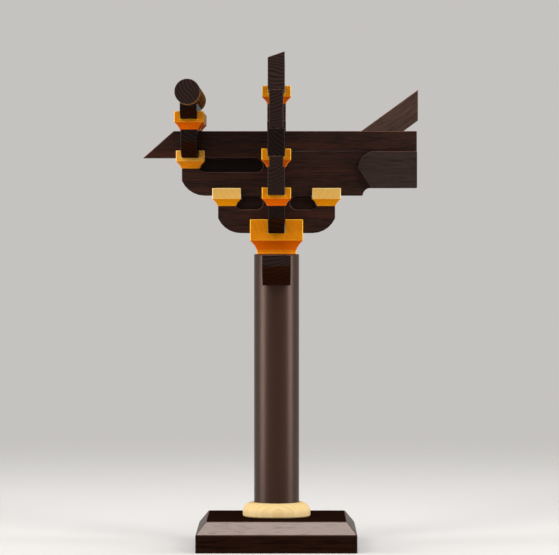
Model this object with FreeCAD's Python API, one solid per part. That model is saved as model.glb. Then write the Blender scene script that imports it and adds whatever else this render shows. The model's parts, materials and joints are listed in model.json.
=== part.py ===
"""A wooden bracket-set puzzle: a column on a plinth that carries the layered arms, beams and bearing blocks
which hold up an eave. Every piece drops straight down into the ones below it, and nothing is glued.

The origin is on the column's axis at the underside of the plinth. +Z is up, +X points indoors, and the wall
runs along Y. All sizes are in millimetres.
"""

import FreeCAD, Part
import math
import os

from FreeCAD import Vector

os.makedirs("parts", exist_ok=True)

# ---- joints -------------------------------------------------------------------------------------------------
fit_gap = 0.1  # play at each cheek of a joint
round_gap = 0.15  # play round a curved face
peg_gap = 0.05  # play round a peg
peg_end_gap = 0.2  # room past the end of a peg or a tenon

# ---- timber: one section serves every arm and beam ----------------------------------------------------------
timber_high = 12.5
timber_thick = 7.6
web_thick = 6.3  # where a wall timber is thinned
lap_keep = 4.2  # height of wood left in the lower of two timbers that cross
facet_count = 5  # flats on the rounded underside of an arm's end
facet_start = math.radians(23)  # lean of that curve where it leaves the vertical end
end_rise = 6.9  # height of the curve on an arm's end
end_past = 4.0  # from the middle of a bearing block to the end of its arm

# ---- bearing blocks -----------------------------------------------------------------------------------------
block_wide = 13.2
block_foot_wide = 8.6
block_taper_high = 3.2
block_flat_high = 1.6  # from the taper to the floor of the slot
block_ear_high = 3.5
block_hollow = 0.35  # depth of the hollow in the taper
peg_wide = 2.4
peg_long = 5.0

# ---- plinth, ring and column --------------------------------------------------------------------------------
base_wide = 73.4
base_band_high = 8.2
base_bevel_high = 5.8
base_bevel_run = 4.6
base_mortise_deep = 8.0
ring_wide = 31.3
ring_high = 6.6
ring_foot_round = 0.9
ring_shoulder_run = 4.1
ring_shoulder_high = 5.0
ring_recess = 0.4  # depth to which the column is let into the ring
column_wide = 20.8
column_long = 115.0
column_head_round = 0.4
column_foot_tenon_wide = 10.0
column_head_tenon_wide = 6.0
column_head_tenon_high = 4.0

# ---- tie-beam heads, dovetailed into the column head --------------------------------------------------------
tie_wide = 13.2
tie_high = 14.2
tie_reach = 27.0  # from the column's axis
tie_end_rise = 8.9
tie_neck_wide = 5.0
tie_tail_wide = 6.8
tie_tail_from_axis = 4.6

# ---- cap block ----------------------------------------------------------------------------------------------
cap_wide = 24.3
cap_foot_wide = 18.0
cap_taper_high = 6.3
cap_flat_high = 3.4
cap_ear_high = 6.4
cap_hollow = 0.9

# ---- the projecting members, which run along X --------------------------------------------------------------
first_jump = 23.0  # from the column's axis to the side blocks
second_jump = 39.7  # from the column's axis to the purlin
inner_end = 64.7  # from the column's axis to the indoor ends
recess_from_axis = 6.3  # inner end of the hollows in the cheeks
recess_below_seat = 1.6  # from the block seats down to a hollow's lower edge
recess_deep = 1.2  # how far a hollow is let into the cheek
recess_lip = 0.5  # wood left above a hollow
beam_step_high = 3.2  # how far the indoor half of the beam stands over the outer half
cove_radius = 3.5
cove_from_axis = 43.3
cheek_wide = 14.4  # over the thickened indoor end
cheek_from_axis = 37.4
cheek_round = 7.9
beak_reach = 61.65
beak_shoulder = 47.5
strut_foot = 39.0
strut_end = 65.2
strut_deep = 11.5
strut_slope = math.radians(36)
strut_tenon_thick = 3.0
strut_tenon_long = 12.0
strut_tenon_high = 5.0

# ---- the wall members, which run along Y --------------------------------------------------------------------
wall_jump = 21.7  # from the column's axis to the blocks on the wall arm
wall_block_at = 40.0  # from the column's axis to the blocks on the lower wall beam
wall_half_long = 58.0  # of the wall beams, the rafter beam and the purlin
purlin_jump = 26.0  # from the beak beam to the end blocks of the purlin arm
plate_half_long = 43.0
plate_high = 7.0
plate_end_rise = 4.4
purlin_radius = 5.7
cradle_deep = 1.3

# ---- the hump, the infill panels and the rafter beam --------------------------------------------------------
hump_high = 11.6
hump_thick = 8.6
hump_half_long = 13.0
hump_toe_high = 4.4
hump_top_half = 4.7
hump_hollow = 2.2
hump_dowel_at = 8.5
dish_thick = 0.9
panel_dowel_inset = 8.0  # from each end of a panel
rafter_high = 16.8  # on the indoor side
rafter_fall = 2.6  # from the indoor side to the outdoor side

# ---- heights of the layers ----------------------------------------------------------------------------------
bearing_high = block_taper_high + block_flat_high
base_top = base_band_high + base_bevel_high
ring_top = base_top + ring_high
column_foot = ring_top - ring_recess
column_top = column_foot + column_long
layer_1 = column_top + cap_taper_high + cap_flat_high
seat_1 = layer_1 + timber_high
layer_2 = seat_1 + bearing_high
seat_2 = layer_2 + timber_high
layer_3 = seat_2 + bearing_high
seat_3 = layer_3 + timber_high
beam_step = layer_3 + beam_step_high
plate_low = seat_3 + bearing_high
plate_top = plate_low + plate_high
hump_top = seat_3 + hump_high
dish_top = hump_top + dish_thick
rafter_low = dish_top + bearing_high

column_radius = column_wide / 2
half_lap = timber_thick / 2 + fit_gap
slot_wide = timber_thick + 2 * fit_gap
outer_end = second_jump + end_past


# ---- helpers ------------------------------------------------------------------------------------------------
def outline(start, *steps):
    """A closed flat face in the XZ plane. A step is a point to go straight to, or two points: one that an arc
    passes and the one where it ends."""
    edges = []
    here = Vector(start[0], 0, start[1])
    for step in [*steps, start]:
        if isinstance(step[0], tuple):
            middle = Vector(step[0][0], 0, step[0][1])
            there = Vector(step[1][0], 0, step[1][1])
            edges.append(Part.Arc(here, middle, there).toShape())
        else:
            there = Vector(step[0], 0, step[1])
            if here.distanceToPoint(there) > 1e-6:
                edges.append(Part.LineSegment(here, there).toShape())
        here = there
    return Part.Face(Part.Wire(edges))


def slab(face, thick, along="x", across=0.0):
    """A face from the XZ plane made `thick`, evenly about that plane. It is turned to run along X or Y, and
    its middle is `across` from the axis."""
    solid = face.extrude(Vector(0, thick, 0))
    solid.translate(Vector(0, -thick / 2, 0))
    if along == "y":
        solid.rotate(Vector(0, 0, 0), Vector(0, 0, 1), 90)
        solid.translate(Vector(across, 0, 0))
    else:
        solid.translate(Vector(0, across, 0))
    return solid


def box(x_low, x_high, y_low, y_high, z_low, z_high):
    return Part.makeBox(x_high - x_low, y_high - y_low, z_high - z_low, Vector(x_low, y_low, z_low))


def pin(x, y, z_low, z_high, wide):
    return Part.makeCylinder(wide / 2, z_high - z_low, Vector(x, y, z_low))


def end_facets(rise):
    """Corners of a faceted end, from its vertical face to the underside: (in from the end, up)."""
    if rise == 0:
        return [(0.0, 0.0)]
    radius = rise / (1 - math.sin(facet_start))
    corners = []
    for k in range(facet_count + 1):
        angle = facet_start + (math.pi / 2 - facet_start) * k / facet_count
        run = radius * (math.cos(facet_start) - math.cos(angle))
        corners.append((run, radius * (1 - math.sin(angle))))
    return corners


def timber_face(start, end, low, high, start_rise, end_rise):
    """The side of a straight timber, whose ends are faceted where they have a rise."""
    corners = [(start + run, low + up) for run, up in end_facets(start_rise)]
    corners += [(end - run, low + up) for run, up in reversed(end_facets(end_rise))]
    return outline(*corners, (end, high), (start, high))


def hollow_point(low, high, hollow):
    """The middle of an arc from low to high that is hollowed to the left of the line between them."""
    run, rise = high[0] - low[0], high[1] - low[1]
    long = math.hypot(run, rise)
    return ((low[0] + high[0]) / 2 - hollow * rise / long, (low[1] + high[1]) / 2 + hollow * run / long)


def block_blank(foot_wide, wide, taper_high, high, hollow):
    """A square block with a hollowed taper at its foot, standing on z = 0."""
    foot, top = (foot_wide / 2, 0.0), (wide / 2, taper_high)
    bend = hollow_point(foot, top, hollow)
    face = outline(
        (-foot[0], 0.0),
        foot,
        (bend, top),
        (wide / 2, high),
        (-wide / 2, high),
        (-wide / 2, taper_high),
        ((-bend[0], bend[1]), (-foot[0], 0.0)),
    )
    return slab(face, wide).common(slab(face, wide, "y"))


def slot(x, y, low, high, along, length):
    """A timber's slot through a block, running along X or Y."""
    half = {"x": (length / 2, slot_wide / 2), "y": (slot_wide / 2, length / 2)}[along]
    return box(x - half[0], x + half[0], y - half[1], y + half[1], low, high)


block_high = bearing_high + block_ear_high


def bearing_block(x, y, seat, slots):
    """A bearing block on the seat at (x, y), slotted along each of the given axes."""
    block = block_blank(block_foot_wide, block_wide, block_taper_high, block_high, block_hollow)
    block.translate(Vector(x, y, seat))
    for along in slots:
        block = block.cut(slot(x, y, seat + bearing_high, seat + block_high, along, block_wide))
    return block.cut(peg_hole(x, y, seat, peg_long / 2))


def block_room(x, y, seat):
    """The space to leave for a bearing block, a little larger than the block."""
    room = block_blank(
        block_foot_wide + 2 * fit_gap, block_wide + 2 * fit_gap, block_taper_high, block_high, block_hollow
    )
    room.translate(Vector(x, y, seat))
    return room


def peg_hole(x, y, joint, reach):
    """A hole for a peg that reaches the same way up and down from the joint."""
    deep = reach + peg_end_gap
    return pin(x, y, joint - deep, joint + deep, peg_wide + 2 * peg_gap)


def peg(x, y, low, high):
    return pin(x, y, low, high, peg_wide)


def pegs(places):
    """One group of pegs, centred on (x, y, joint)."""
    return Part.makeCompound([peg(x, y, z - peg_long / 2, z + peg_long / 2) for x, y, z in places])


def with_peg_holes(solid, places):
    for x, y, joint in places:
        solid = solid.cut(peg_hole(x, y, joint, peg_long / 2))
    return solid


def lap(x, low, high, along):
    """The notch where a timber at x crosses the wall or the purlin, cut through a timber running along X or Y."""
    reach = timber_thick
    if along == "x":
        return box(x - half_lap, x + half_lap, -reach, reach, low, high)
    return box(x - reach, x + reach, -half_lap, half_lap, low, high)


def cheek_hollows(outer, inner, seat, top):
    """Round-ended hollows in both cheeks of a timber on the axis, from `outer` to `inner` along X."""
    low, high = seat - recess_below_seat, top - recess_lip
    radius = (high - low) / 2
    middle = (low + high) / 2
    left, right = min(outer, inner), max(outer, inner)
    face = outline(
        (left + radius, low),
        (right - radius, low),
        ((right, middle), (right - radius, high)),
        (left + radius, high),
        ((left, middle), (left + radius, low)),
    )
    across = (timber_thick - recess_deep) / 2
    return [slab(face, recess_deep, "x", side * across) for side in (-1, 1)]


# ---- plinth, ring and column --------------------------------------------------------------------------------
def base_plinth():
    top_wide = base_wide - 2 * base_bevel_run
    face = outline(
        (-base_wide / 2, 0),
        (base_wide / 2, 0),
        (base_wide / 2, base_band_high),
        (top_wide / 2, base_top),
        (-top_wide / 2, base_top),
        (-base_wide / 2, base_band_high),
    )
    plinth = slab(face, base_wide).common(slab(face, base_wide, "y"))
    mortise_wide = column_foot_tenon_wide + 2 * round_gap
    return plinth.cut(pin(0, 0, base_top - base_mortise_deep - peg_end_gap, base_top, mortise_wide))


def column_ring():
    """The turned ring under the column, with a quarter-round shoulder."""
    radius = ring_wide / 2
    bore = column_foot_tenon_wide / 2 + round_gap
    seat = column_radius + round_gap
    shoulder_low = ring_top - ring_shoulder_high
    slant = math.sqrt(0.5)
    foot_bend = (radius - ring_foot_round * (1 - slant), base_top + ring_foot_round * (1 - slant))
    bend = (radius - ring_shoulder_run * (1 - slant), shoulder_low + ring_shoulder_high * slant)
    face = outline(
        (bore, base_top),
        (radius - ring_foot_round, base_top),
        (foot_bend, (radius, base_top + ring_foot_round)),
        (radius, shoulder_low),
        (bend, (radius - ring_shoulder_run, ring_top)),
        (seat, ring_top),
        (seat, column_foot),
        (bore, column_foot),
    )
    return face.revolve(Vector(0, 0, 0), Vector(0, 0, 1), 360)


def tie_key(grow):
    """The dovetail of the front tie-beam head, in the column head's height."""
    neck, tail = tie_neck_wide / 2 + grow, tie_tail_wide / 2 + grow
    inner, outer = -tie_tail_from_axis + grow, -column_radius - tie_neck_wide / 2
    corners = [(-neck, outer), (neck, outer), (tail, inner), (-tail, inner), (-neck, outer)]
    face = Part.Face(Part.makePolygon([Vector(x, y, column_top - tie_high) for x, y in corners]))
    return face.extrude(Vector(0, 0, tie_high))


def turned_round(solid):
    """The same solid on the other side of the column."""
    other = solid.copy()
    other.rotate(Vector(0, 0, 0), Vector(0, 0, 1), 180)
    return other


def column():
    tenon = column_foot_tenon_wide / 2
    slant = math.sqrt(0.5)
    head_bend = column_head_round * (1 - slant)
    face = outline(
        (0, base_top - base_mortise_deep),
        (tenon, base_top - base_mortise_deep),
        (tenon, column_foot),
        (column_radius, column_foot),
        (column_radius, column_top - column_head_round),
        ((column_radius - head_bend, column_top - head_bend), (column_radius - column_head_round, column_top)),
        (0, column_top),
    )
    shaft = face.revolve(Vector(0, 0, 0), Vector(0, 0, 1), 360)
    half = column_head_tenon_wide / 2
    shaft = shaft.fuse(box(-half, half, -half, half, column_top, column_top + column_head_tenon_high))
    return shaft.cut(tie_key(fit_gap)).cut(turned_round(tie_key(fit_gap)))


def tie_beam_head():
    """The head in front of the column: a block coped to the shaft, with a dovetail that drops into it."""
    low = column_top - tie_high
    head = slab(timber_face(-tie_reach, 0, low, column_top, tie_end_rise, 0), tie_wide, "y")
    cope = pin(0, 0, low, column_top, column_wide + 2 * round_gap)
    return head.cut(cope).fuse(tie_key(0)).removeSplitter()


def cap_block():
    high = cap_taper_high + cap_flat_high + cap_ear_high
    block = block_blank(cap_foot_wide, cap_wide, cap_taper_high, high, cap_hollow)
    block.translate(Vector(0, 0, column_top))
    for along in ("x", "y"):
        block = block.cut(slot(0, 0, layer_1, column_top + high, along, cap_wide))
    half = column_head_tenon_wide / 2 + fit_gap
    mortise_top = column_top + column_head_tenon_high + peg_end_gap
    return block.cut(box(-half, half, -half, half, column_top, mortise_top))


# ---- first layer --------------------------------------------------------------------------------------------
wall_arm_pegs = [(0, -wall_jump, seat_1), (0, wall_jump, seat_1)]
side_block_pegs = [(-first_jump, 0, seat_1), (first_jump, 0, seat_1)]


def wall_arm():
    end = wall_jump + end_past
    arm = slab(timber_face(-end, end, layer_1, seat_1, end_rise, end_rise), timber_thick, "y")
    return with_peg_holes(arm.cut(lap(0, layer_1 + lap_keep, seat_1, "y")), wall_arm_pegs)


def projecting_arm():
    end = first_jump + end_past
    arm = slab(timber_face(-end, end, layer_1, seat_1, end_rise, end_rise), timber_thick)
    upper = slab(timber_face(-first_jump, first_jump, seat_1, layer_2, 0, 0), timber_thick)
    arm = arm.fuse(upper).removeSplitter()
    for side in (-1, 1):
        arm = arm.cut(block_room(side * first_jump, 0, seat_1))
        foot = first_jump - block_foot_wide / 2
        for hollow in cheek_hollows(side * foot, side * recess_from_axis, seat_1, layer_2):
            arm = arm.cut(hollow)
    return with_peg_holes(arm.cut(lap(0, layer_1, layer_1 + lap_keep, "x")), side_block_pegs)


# ---- second layer -------------------------------------------------------------------------------------------
wall_beam_pegs = [(0, -wall_block_at, seat_2), (0, wall_block_at, seat_2)]
cross_block_pegs = [(-second_jump, 0, seat_2)]


def lower_wall_beam():
    """A wall beam whose upper edge is thinned, and cut away where its bearing blocks stand."""
    ends = (-wall_half_long, wall_half_long)
    beam = slab(timber_face(*ends, layer_2, seat_2, 0, 0), timber_thick, "y")
    beam = beam.fuse(slab(timber_face(*ends, seat_2, layer_3, 0, 0), web_thick, "y"))
    for side in (-1, 1):
        beam = beam.cut(block_room(0, side * wall_block_at, seat_2))
    return with_peg_holes(beam.cut(lap(0, layer_2 + lap_keep, layer_3, "y")), wall_beam_pegs)


def cross_beam():
    """The second projecting arm and the indoor beam in one piece, thickened at its indoor end."""
    slant = math.sqrt(0.5)
    cove_top = layer_2 + cove_radius
    cove_bend = (cove_from_axis - cove_radius * slant, layer_2 + cove_radius * slant)
    side = outline(
        *[(-outer_end + run, layer_2 + up) for run, up in end_facets(end_rise)],
        (cove_from_axis - cove_radius, layer_2),
        (cove_bend, (cove_from_axis, cove_top)),
        (inner_end, cove_top),
        (inner_end, beam_step),
        (half_lap, beam_step),
        (half_lap, layer_3),
        (-second_jump, layer_3),
        (-second_jump, seat_2),
        (-outer_end, seat_2),
    )
    round_end = (cheek_from_axis + cheek_round, beam_step)
    round_bend = (cheek_from_axis + cheek_round * (1 - slant), beam_step - cheek_round * (1 - slant))
    cheek = outline(
        (cove_from_axis, cove_top),
        (inner_end, cove_top),
        (inner_end, beam_step),
        round_end,
        (round_bend, (cheek_from_axis, beam_step - cheek_round)),
    )
    beam = slab(side, timber_thick).fuse(slab(cheek, cheek_wide)).removeSplitter()
    beam = beam.cut(block_room(-second_jump, 0, seat_2)).cut(lap(0, layer_2, layer_2 + lap_keep, "x"))
    for hollow in cheek_hollows(block_foot_wide / 2 - second_jump, -recess_from_axis, seat_2, layer_3):
        beam = beam.cut(hollow)
    return with_peg_holes(beam, cross_block_pegs)


# ---- third layer --------------------------------------------------------------------------------------------
purlin_arm_pegs = [(-second_jump, -purlin_jump, seat_3), (-second_jump, purlin_jump, seat_3)]
centre_block_pegs = [(-second_jump, 0, seat_3)]
hump_dowel_places = [(0, -hump_dowel_at, seat_3), (0, hump_dowel_at, seat_3)]
panel_dowels_at = (hump_half_long + panel_dowel_inset, wall_half_long - panel_dowel_inset)
front_dowel_places = [(0, -at, seat_3) for at in panel_dowels_at]
rear_dowel_places = [(0, at, seat_3) for at in panel_dowels_at]


def purlin_arm():
    end = purlin_jump + end_past
    face = timber_face(-end, end, layer_3, seat_3, end_rise, end_rise)
    arm = slab(face, timber_thick, "y", -second_jump).cut(lap(-second_jump, layer_3 + lap_keep, seat_3, "y"))
    return with_peg_holes(arm, purlin_arm_pegs)


def upper_wall_beam():
    beam = slab(timber_face(-wall_half_long, wall_half_long, layer_3, seat_3, 0, 0), timber_thick, "y")
    beam = beam.cut(lap(0, layer_3 + lap_keep, seat_3, "y"))
    return with_peg_holes(beam, hump_dowel_places + front_dowel_places + rear_dowel_places)


def strut_tenon(grow):
    """The tenon under the slanted strut, in the middle of its foot."""
    foot_long = strut_deep / math.sin(strut_slope)
    middle = strut_foot + foot_long / 2
    half_long, half_thick = strut_tenon_long / 2 + grow, strut_tenon_thick / 2 + grow
    low = seat_3 - strut_tenon_high - (peg_end_gap if grow else 0)
    return box(middle - half_long, middle + half_long, -half_thick, half_thick, low, seat_3)


def beak_beam():
    side = outline(
        (-beak_reach, layer_3),
        (half_lap, layer_3),
        (half_lap, beam_step),
        (inner_end, beam_step),
        (inner_end, seat_3),
        (-beak_shoulder, seat_3),
    )
    beam = slab(side, timber_thick)
    for x in (0, -second_jump):
        beam = beam.cut(lap(x, layer_3, layer_3 + lap_keep, "x"))
    return with_peg_holes(beam.cut(strut_tenon(fit_gap)), centre_block_pegs)


def slant_strut():
    """The stub of a slanting rafter strut, cut off plumb at its indoor end."""
    foot_end = strut_foot + strut_deep / math.sin(strut_slope)
    side = outline(
        (strut_foot, seat_3),
        (foot_end, seat_3),
        (strut_end, seat_3 + (strut_end - foot_end) * math.tan(strut_slope)),
        (strut_end, seat_3 + (strut_end - strut_foot) * math.tan(strut_slope)),
    )
    return slab(side, timber_thick).fuse(strut_tenon(0)).removeSplitter()


# ---- purlin, hump, panels and rafter beam -------------------------------------------------------------------
purlin_axis = plate_top - cradle_deep + purlin_radius


def purlin_rod(radius):
    foot = Vector(-second_jump, -wall_half_long, purlin_axis)
    return Part.makeCylinder(radius, 2 * wall_half_long, foot, Vector(0, 1, 0))


def purlin_plate():
    ends = (-plate_half_long, plate_half_long)
    face = timber_face(*ends, plate_low, plate_top, plate_end_rise, plate_end_rise)
    return slab(face, timber_thick, "y", -second_jump).cut(purlin_rod(purlin_radius + round_gap))


def camel_hump():
    """A hump with hollow flanks, drilled for its two dowels and the peg of its block."""
    toe, top = (hump_half_long, seat_3 + hump_toe_high), (hump_top_half, hump_top)
    run, rise = toe[0] - top[0], top[1] - toe[1]
    long = math.hypot(run, rise)
    bend = ((toe[0] + top[0]) / 2 - hump_hollow * rise / long, (toe[1] + top[1]) / 2 - hump_hollow * run / long)
    face = outline(
        (-toe[0], seat_3),
        (toe[0], seat_3),
        toe,
        (bend, top),
        (-top[0], top[1]),
        ((-bend[0], bend[1]), (-toe[0], toe[1])),
    )
    hump = slab(face, hump_thick, "y").cut(peg_hole(0, 0, dish_top, peg_long / 2 + dish_thick))
    return with_peg_holes(hump, hump_dowel_places)


def dish_plate():
    half = block_foot_wide / 2
    dish = box(-half, half, -half, half, hump_top, dish_top)
    return dish.cut(peg_hole(0, 0, dish_top, peg_long / 2))


def rear_infill_panel():
    inner = hump_half_long + fit_gap
    face = timber_face(inner, wall_half_long, seat_3, rafter_low, 0, 0)
    return with_peg_holes(slab(face, web_thick, "y"), rear_dowel_places)


def rafter_beam():
    half = timber_thick / 2
    section = outline(
        (-half, rafter_low),
        (half, rafter_low),
        (half, rafter_low + rafter_high),
        (-half, rafter_low + rafter_high - rafter_fall),
    )
    return slab(section, 2 * wall_half_long)


# ---- every piece, by its name -------------------------------------------------------------------------------
front_head = tie_beam_head()
rear_panel = rear_infill_panel()
hump_peg_low = dish_top - dish_thick - peg_long / 2

pieces = {
    "base_plinth": base_plinth(),
    "column_ring": column_ring(),
    "column": column(),
    "front_tie_beam_head": front_head,
    "rear_tie_beam_head": turned_round(front_head),
    "cap_block": cap_block(),
    "wall_arm": wall_arm(),
    "wall_arm_front_block": bearing_block(0, -wall_jump, seat_1, "y"),
    "wall_arm_rear_block": bearing_block(0, wall_jump, seat_1, "y"),
    "wall_arm_pegs": pegs(wall_arm_pegs),
    "projecting_arm": projecting_arm(),
    "outer_side_block": bearing_block(-first_jump, 0, seat_1, "x"),
    "inner_side_block": bearing_block(first_jump, 0, seat_1, "x"),
    "side_block_pegs": pegs(side_block_pegs),
    "lower_wall_beam": lower_wall_beam(),
    "wall_beam_front_block": bearing_block(0, -wall_block_at, seat_2, "y"),
    "wall_beam_rear_block": bearing_block(0, wall_block_at, seat_2, "y"),
    "wall_beam_pegs": pegs(wall_beam_pegs),
    "cross_beam": cross_beam(),
    "cross_block": bearing_block(-second_jump, 0, seat_2, "xy"),
    "cross_block_peg": pegs(cross_block_pegs),
    "purlin_arm": purlin_arm(),
    "purlin_arm_front_block": bearing_block(-second_jump, -purlin_jump, seat_3, "y"),
    "purlin_arm_rear_block": bearing_block(-second_jump, purlin_jump, seat_3, "y"),
    "purlin_arm_pegs": pegs(purlin_arm_pegs),
    "upper_wall_beam": upper_wall_beam(),
    "beak_beam": beak_beam(),
    "centre_block": bearing_block(-second_jump, 0, seat_3, "y"),
    "centre_block_peg": pegs(centre_block_pegs),
    "purlin_plate": purlin_plate(),
    "round_purlin": purlin_rod(purlin_radius),
    "slant_strut": slant_strut(),
    "camel_hump": camel_hump(),
    "hump_dowels": pegs(hump_dowel_places),
    "dish_plate": dish_plate(),
    "hump_block": bearing_block(0, 0, dish_top, "y"),
    "hump_block_peg": peg(0, 0, hump_peg_low, dish_top + peg_long / 2),
    "front_infill_panel": turned_round(rear_panel),
    "rear_infill_panel": rear_panel,
    "front_panel_dowels": pegs(front_dowel_places),
    "rear_panel_dowels": pegs(rear_dowel_places),
    "rafter_beam": rafter_beam(),
}

for name, shape in pieces.items():
    solids = shape.Solids
    loose = len(solids) > 1 and not name.endswith(("pegs", "dowels"))
    print(f"{name:24s} {len(solids)} solid(s) {shape.Volume:9.1f} mm3 {'IN PIECES' if loose else ''}")
    shape = Part.makeCompound(solids) if len(solids) > 1 else solids[0]
    shape.exportStep(f"parts/{name}.step")
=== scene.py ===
# %% [markdown]
# # A wooden bracket-set puzzle
# This lesson dresses a finished construction model: a column on a plinth that carries dark arms and beams,
# with orange bearing blocks between them. The construction model fixes every size and place. Blender adds
# what the hand and the eye meet: softened edges, solid wood with its grain, and light. The first cell loads
# that model as a frame, and it notes the size of the whole before anything is added.

# %% Load the frame
import json
import math

import bmesh
import bpy
from mathutils import Euler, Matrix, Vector


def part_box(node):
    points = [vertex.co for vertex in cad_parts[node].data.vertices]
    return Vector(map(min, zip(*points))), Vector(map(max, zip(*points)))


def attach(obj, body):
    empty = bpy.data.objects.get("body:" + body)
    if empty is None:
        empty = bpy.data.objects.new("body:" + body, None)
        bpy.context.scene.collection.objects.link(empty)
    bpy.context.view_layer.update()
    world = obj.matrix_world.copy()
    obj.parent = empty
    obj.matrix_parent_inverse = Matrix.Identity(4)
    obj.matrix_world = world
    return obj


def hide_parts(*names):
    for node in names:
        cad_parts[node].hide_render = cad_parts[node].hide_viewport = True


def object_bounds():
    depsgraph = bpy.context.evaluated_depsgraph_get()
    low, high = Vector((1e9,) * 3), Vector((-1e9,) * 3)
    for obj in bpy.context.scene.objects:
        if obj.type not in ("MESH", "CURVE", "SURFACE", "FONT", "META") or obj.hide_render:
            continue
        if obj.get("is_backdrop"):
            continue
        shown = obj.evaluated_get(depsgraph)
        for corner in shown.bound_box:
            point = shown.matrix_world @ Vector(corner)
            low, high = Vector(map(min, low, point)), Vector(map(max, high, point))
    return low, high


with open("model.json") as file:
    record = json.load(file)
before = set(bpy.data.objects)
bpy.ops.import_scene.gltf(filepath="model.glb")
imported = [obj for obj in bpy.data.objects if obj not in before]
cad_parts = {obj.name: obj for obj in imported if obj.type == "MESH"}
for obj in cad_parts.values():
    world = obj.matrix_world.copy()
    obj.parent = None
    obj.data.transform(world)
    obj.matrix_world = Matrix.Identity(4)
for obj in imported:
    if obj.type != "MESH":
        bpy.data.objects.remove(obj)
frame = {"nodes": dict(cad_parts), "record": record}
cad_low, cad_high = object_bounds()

MM = 0.001
body_of = {node: body for body, nodes in frame["record"]["behaviour"]["bodies"].items() for node in nodes}
print("nodes in the frame:", len(body_of), "size in mm:", [round(x / MM, 1) for x in cad_high - cad_low])

# %% [markdown]
# ## Node trees in short
# The backdrop, the woods and the repeated parts are all made from nodes. Four small helpers keep those
# trees readable: one adds any node and links its inputs, and three name the sums that come up most. A fifth
# turns a colour as it looks on a screen into the values that Blender reads.

# %% Helpers for node trees
def node(tree, kind, inputs=None, **settings):
    """Adds a node. Inputs are given by name or number, as a value or as the socket to link."""
    made = tree.nodes.new(kind)
    for name, value in settings.items():
        setattr(made, name, value)
    for key, value in (inputs or {}).items():
        if isinstance(value, bpy.types.NodeSocket):
            tree.links.new(value, made.inputs[key])
        else:
            made.inputs[key].default_value = value
    return made


def calc(tree, operation, *values, kind="ShaderNodeMath"):
    """The result of one sum on numbers or sockets."""
    return node(tree, kind, dict(enumerate(values)), operation=operation).outputs[0]


def blend(tree, share, first, second):
    """A colour that goes from the first to the second."""
    mixed = node(tree, "ShaderNodeMix", {0: share, 6: first, 7: second}, data_type="RGBA")
    return mixed.outputs[2]


def ease(tree, value, low, high):
    """0 below low, 1 above high, and smooth between."""
    made = node(tree, "ShaderNodeMapRange", {0: value, 1: low, 2: high}, interpolation_type="SMOOTHSTEP")
    return made.outputs[0]


def linear(red, green, blue):
    """A colour given as it looks on a screen, from 0 to 255, as the linear values that Blender reads."""
    parts = [c / 255 for c in (red, green, blue)]
    return (*[c / 12.92 if c <= 0.04045 else ((c + 0.055) / 1.055) ** 2.4 for c in parts], 1.0)


# %% [markdown]
# ## Camera
# A product picture of a slender object is taken from far off with a long lens, so that upright edges stay
# upright. The camera stands a little over a metre and a half away, at two thirds of the object's height,
# and looks slightly down at its middle. The lens follows from how wide the view has to be at the column.
# Shift would frame it too, but a turned camera behaves the same from every side.

# %% Place the camera
EYE = Vector((5.3, -1619.0, 148.6)) * MM
AIM = Vector((1.34, 0.0, 124.4)) * MM
VIEW_WIDE = 258.5 * MM
SENSOR = 36.0

camera_data = bpy.data.cameras.new("camera")
camera_data.sensor_width = SENSOR
camera_data.lens = SENSOR * (AIM - EYE).length / VIEW_WIDE
camera = bpy.data.objects.new("camera", camera_data)
camera.location = EYE
camera.rotation_euler = (AIM - EYE).to_track_quat("-Z", "Y").to_euler()
bpy.context.scene.collection.objects.link(camera)
bpy.context.scene.camera = camera
print("lens in mm:", round(camera_data.lens, 1))

# %% [markdown]
# ## Light
# Dark polished wood shows little colour of its own, so its shape is read from what it reflects. Two tall
# softboxes at the sides draw the upright bands on the round column. Two keys in front light the faces, a
# small box overhead picks out the top edges and the bevel of the plinth, and a wide one lights the floor
# behind. The camera doesn't see the lamps. The room is dim as a light, and pale only to the camera and in
# reflections, so that the backdrop doesn't wash out the colours.

# %% Lamps and room
scene = bpy.context.scene
scene.view_settings.view_transform = "Standard"


def softbox(name, place, aim, wide, high, watts):
    """An area lamp, in metres, that faces `aim`."""
    lamp = bpy.data.lights.new(name, "AREA")
    lamp.shape = "RECTANGLE"
    lamp.size, lamp.size_y, lamp.energy = wide, high, watts
    stand = bpy.data.objects.new(name, lamp)
    stand.location = place
    stand.rotation_euler = (Vector(aim) - Vector(place)).to_track_quat("-Z", "Y").to_euler()
    stand.visible_camera = False
    scene.collection.objects.link(stand)


middle = (cad_low + cad_high) / 2
softbox("overhead", (0.0, -0.50, 1.35), middle, 0.60, 0.45, 5.0)
softbox("backlight", (0.0, 0.70, 1.90), (0.0, 1.70, 0.00), 2.2, 0.60, 20.0)
softbox("left_key", (-0.85, -1.20, 1.00), middle, 0.50, 0.50, 9.8)
softbox("right_key", (1.00, -1.10, 0.95), middle, 0.50, 0.50, 9.8)
softbox("left_strip", (-1.15, -0.30, 0.20), middle, 0.45, 1.0, 17.0)
softbox("right_strip", (1.15, -0.30, 0.20), middle, 0.40, 1.0, 14.0)

ROOM_COLOUR = (0.10, 0.10, 0.10, 1.0)
BACKDROP_COLOUR = (0.56, 0.545, 0.53, 1.0)
world = bpy.data.worlds.new("room")
world.use_nodes = True
tree = world.node_tree
ray = tree.nodes.new("ShaderNodeLightPath").outputs
seen = calc(tree, "MAXIMUM", ray["Is Camera Ray"], ray["Is Glossy Ray"])
seen = calc(tree, "MAXIMUM", seen, ray["Is Transmission Ray"])
tree.links.new(blend(tree, seen, ROOM_COLOUR, BACKDROP_COLOUR), tree.nodes["Background"].inputs["Color"])
scene.world = world

# %% [markdown]
# ## Floor
# The floor is a round sheet of pale paper that keeps the puzzle's shadow. Towards its rim it turns
# see-through, so that it runs into the backdrop without a hard line. It is small enough to end before the
# side lamps, which would burn it out to white.

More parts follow.
